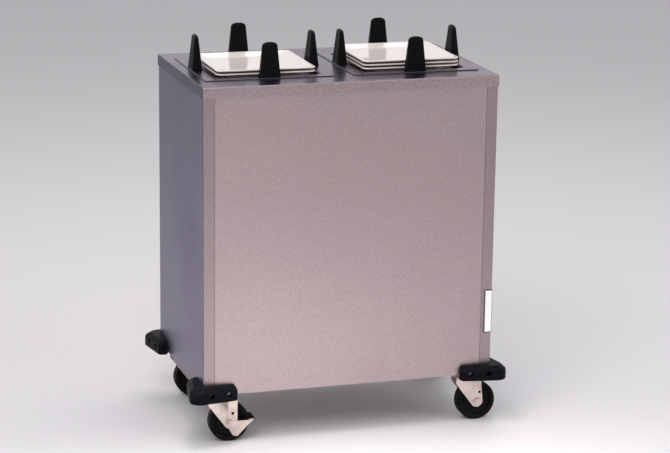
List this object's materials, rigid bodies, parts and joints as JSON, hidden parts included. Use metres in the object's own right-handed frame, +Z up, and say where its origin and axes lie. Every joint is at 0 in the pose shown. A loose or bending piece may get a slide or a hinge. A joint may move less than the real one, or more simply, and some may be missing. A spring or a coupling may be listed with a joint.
{
  "type": "plate dispenser cart",
  "caption": "Closed stainless cart on swivel casters with two drop-in square plate dispensers side by side: sprung carriages between black guide posts, black corner bumpers.",
  "frame": {"origin": "on the floor, under the centre of the cabinet", "axes": "+Z up, +X to the right seen from the front, front towards -Y"},
  "size_m": [0.8334, 0.5544, 1.0036],
  "materials": {
    "satin_steel": "satin",
    "grained_steel": "satin",
    "zinc_plate": "satin",
    "spring_steel": "satin",
    "black_plastic": "satin",
    "black_rubber": "matte",
    "wheel_rubber": "matte",
    "white_nylon": "matte",
    "ivory_glaze": "gloss",
    "grey_holder": "satin",
    "white_card": "matte"
  },
  "bodies": {
    "cabinet": {"deck_top": "satin_steel", "front_panel": "satin_steel", "back_panel": "satin_steel", "side_panel_left": "grained_steel", "side_panel_right": "grained_steel", "base_pan": "satin_steel", "base_rail_left": "zinc_plate", "base_rail_right": "zinc_plate", "label_holder": "grey_holder", "label_card": "white_card", "bumper_front_right": "black_rubber", "bumper_back_right": "black_rubber", "bumper_back_left": "black_rubber", "bumper_front_left": "black_rubber", "caster_plate_front_right": "zinc_plate", "caster_plate_back_right": "zinc_plate", "caster_plate_back_left": "zinc_plate", "caster_plate_front_left": "zinc_plate", "flange_left": "satin_steel", "guide_post_left_right": "black_plastic", "guide_post_left_back": "black_plastic", "guide_post_left_left": "black_plastic", "guide_post_left_front": "black_plastic", "lift_frame_left": "zinc_plate", "spring_left_front": "spring_steel", "spring_left_back": "spring_steel", "flange_right": "satin_steel", "guide_post_right_right": "black_plastic", "guide_post_right_back": "black_plastic", "guide_post_right_left": "black_plastic", "guide_post_right_front": "black_plastic", "lift_frame_right": "zinc_plate", "spring_right_front": "spring_steel", "spring_right_back": "spring_steel"},
    "swivel_front_right": {"caster_fork_front_right": "zinc_plate", "caster_axle_front_right": "zinc_plate"},
    "wheel_front_right": {"wheel_front_right": "wheel_rubber"},
    "swivel_back_right": {"caster_fork_back_right": "zinc_plate", "caster_axle_back_right": "zinc_plate"},
    "wheel_back_right": {"wheel_back_right": "wheel_rubber"},
    "swivel_back_left": {"caster_fork_back_left": "zinc_plate", "caster_axle_back_left": "zinc_plate"},
    "wheel_back_left": {"wheel_back_left": "wheel_rubber"},
    "brake_back_left": {"brake_pedal_back_left": "zinc_plate"},
    "swivel_front_left": {"caster_fork_front_left": "zinc_plate", "caster_axle_front_left": "zinc_plate"},
    "wheel_front_left": {"wheel_front_left": "wheel_rubber"},
    "brake_front_left": {"brake_pedal_front_left": "zinc_plate"},
    "carriage_left": {"carriage_left": "satin_steel", "bush_left_left": "white_nylon", "bush_left_right": "white_nylon"},
    "plate_left_1": {"plate_left_1": "ivory_glaze"},
    "plate_left_2": {"plate_left_2": "ivory_glaze"},
    "carriage_right": {"carriage_right": "satin_steel", "bush_right_left": "white_nylon", "bush_right_right": "white_nylon"},
    "plate_right_1": {"plate_right_1": "ivory_glaze"},
    "plate_right_2": {"plate_right_2": "ivory_glaze"},
    "plate_right_3": {"plate_right_3": "ivory_glaze"}
  },
  "joints": [
    {"name": "caster_swivel_front_right", "type": "hinge", "parent": "cabinet", "child": "swivel_front_right", "pos_m": [0.33, -0.1865, 0.12], "axis": [0, 0, 1], "continuous": true},
    {"name": "wheel_spin_front_right", "type": "hinge", "parent": "swivel_front_right", "child": "wheel_front_right", "pos_m": [0.358, -0.1865, 0.051], "axis": [0, 1, 0], "continuous": true},
    {"name": "caster_swivel_back_right", "type": "hinge", "parent": "cabinet", "child": "swivel_back_right", "pos_m": [0.33, 0.1865, 0.12], "axis": [0, 0, 1], "continuous": true},
    {"name": "wheel_spin_back_right", "type": "hinge", "parent": "swivel_back_right", "child": "wheel_back_right", "pos_m": [0.358, 0.1865, 0.051], "axis": [0, 1, 0], "continuous": true},
    {"name": "caster_swivel_back_left", "type": "hinge", "parent": "cabinet", "child": "swivel_back_left", "pos_m": [-0.33, 0.1865, 0.12], "axis": [0, 0, 1], "continuous": true},
    {"name": "wheel_spin_back_left", "type": "hinge", "parent": "swivel_back_left", "child": "wheel_back_left", "pos_m": [-0.302, 0.1865, 0.051], "axis": [0, 1, 0], "continuous": true},
    {"name": "brake_press_back_left", "type": "hinge", "parent": "swivel_back_left", "child": "brake_back_left", "pos_m": [-0.302, 0.1865, 0.051], "axis": [0, 1, 0], "range_deg": [0, 20]},
    {"name": "caster_swivel_front_left", "type": "hinge", "parent": "cabinet", "child": "swivel_front_left", "pos_m": [-0.33, -0.1865, 0.12], "axis": [0, 0, 1], "continuous": true},
    {"name": "wheel_spin_front_left", "type": "hinge", "parent": "swivel_front_left", "child": "wheel_front_left", "pos_m": [-0.302, -0.1865, 0.051], "axis": [0, 1, 0], "continuous": true},
    {"name": "brake_press_front_left", "type": "hinge", "parent": "swivel_front_left", "child": "brake_front_left", "pos_m": [-0.302, -0.1865, 0.051], "axis": [0, 1, 0], "range_deg": [0, 20]},
    {"name": "carriage_lift_left", "type": "slide", "parent": "cabinet", "child": "carriage_left", "axis": [0, 0, 1], "range_m": [-0.47, 0.009], "stiffness_N_per_m": 807, "springref_m": 0.05406, "deforming": ["spring_left_front", "spring_left_back"]},
    {"name": "plate_lift_left_1", "type": "slide", "parent": "carriage_left", "child": "plate_left_1", "axis": [0, 0, 1], "range_m": [0, 0.12]},
    {"name": "plate_lift_left_2", "type": "slide", "parent": "plate_left_1", "child": "plate_left_2", "axis": [0, 0, 1], "range_m": [0, 0.12]},
    {"name": "carriage_lift_right", "type": "slide", "parent": "cabinet", "child": "carriage_right", "axis": [0, 0, 1], "range_m": [-0.47, 0.009], "stiffness_N_per_m": 807, "springref_m": 0.06306, "deforming": ["spring_right_front", "spring_right_back"]},
    {"name": "plate_lift_right_1", "type": "slide", "parent": "carriage_right", "child": "plate_right_1", "axis": [0, 0, 1], "range_m": [0, 0.12]},
    {"name": "plate_lift_right_2", "type": "slide", "parent": "plate_right_1", "child": "plate_right_2", "axis": [0, 0, 1], "range_m": [0, 0.12]},
    {"name": "plate_lift_right_3", "type": "slide", "parent": "plate_right_2", "child": "plate_right_3", "axis": [0, 0, 1], "range_m": [0, 0.12]}
  ]
}
